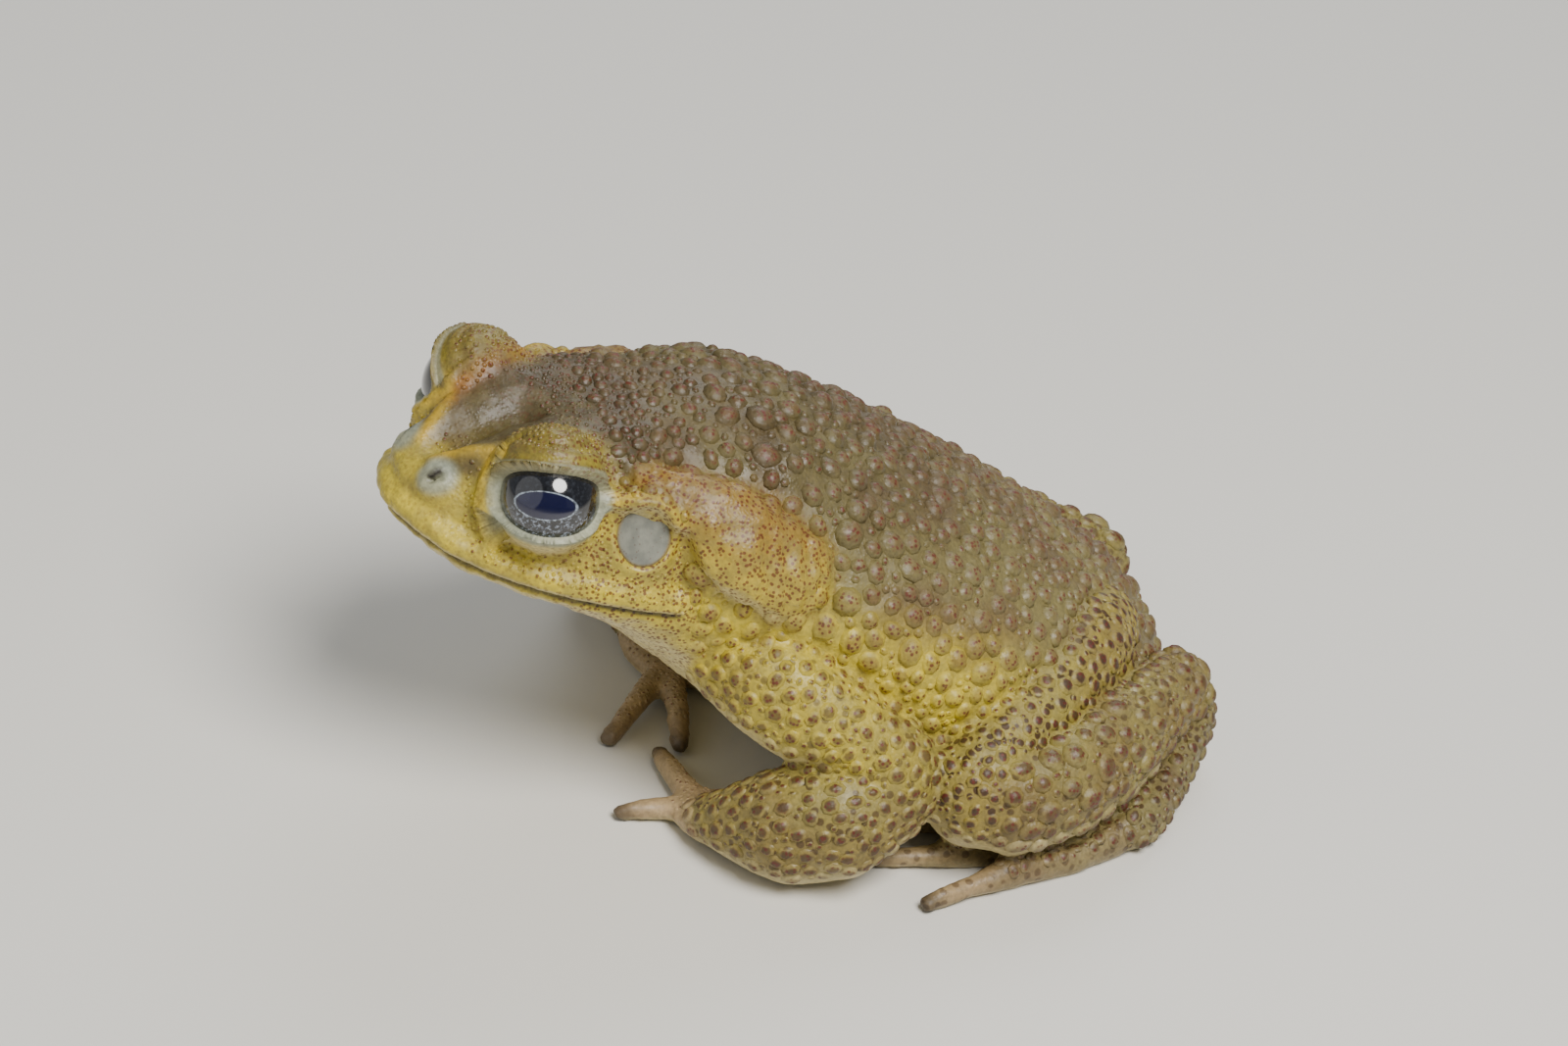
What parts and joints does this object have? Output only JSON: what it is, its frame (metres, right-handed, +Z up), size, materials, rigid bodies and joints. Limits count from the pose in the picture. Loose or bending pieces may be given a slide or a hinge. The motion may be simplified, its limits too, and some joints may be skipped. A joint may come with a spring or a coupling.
{
  "type": "cane toad model",
  "caption": "Life-size still model of a cane toad sitting with its fore body raised, warty skin, large shoulder glands, webbed hind toes.",
  "frame": {"origin": "centre of the bounding box's underside, on the floor the toad sits on", "axes": "+Z up, +Y from the snout towards the rump, +X towards the toad's left side"},
  "size_m": [0.0994, 0.1366, 0.0648],
  "materials": {
    "skin": "moist warty skin, olive brown above, yellow on the lip, throat and flank",
    "eye": "wet, near black with a fine silver ring round the pupil",
    "eardrum": "smooth, grey"
  },
  "bodies": {
    "root": {"ankle_left": "skin", "ankle_right": "skin", "eardrum_left": "eardrum", "eardrum_right": "eardrum", "eye_left": "eye", "eye_right": "eye", "foot_left": "skin", "foot_right": "skin", "forearm_left": "skin", "forearm_right": "skin", "hand_left": "skin", "hand_right": "skin", "head": "skin", "lower_jaw": "skin", "parotoid_left": "skin", "parotoid_right": "skin", "shank_left": "skin", "shank_right": "skin", "thigh_left": "skin", "thigh_right": "skin", "torso": "skin", "upper_arm_left": "skin", "upper_arm_right": "skin"}
  },
  "joints": []
}
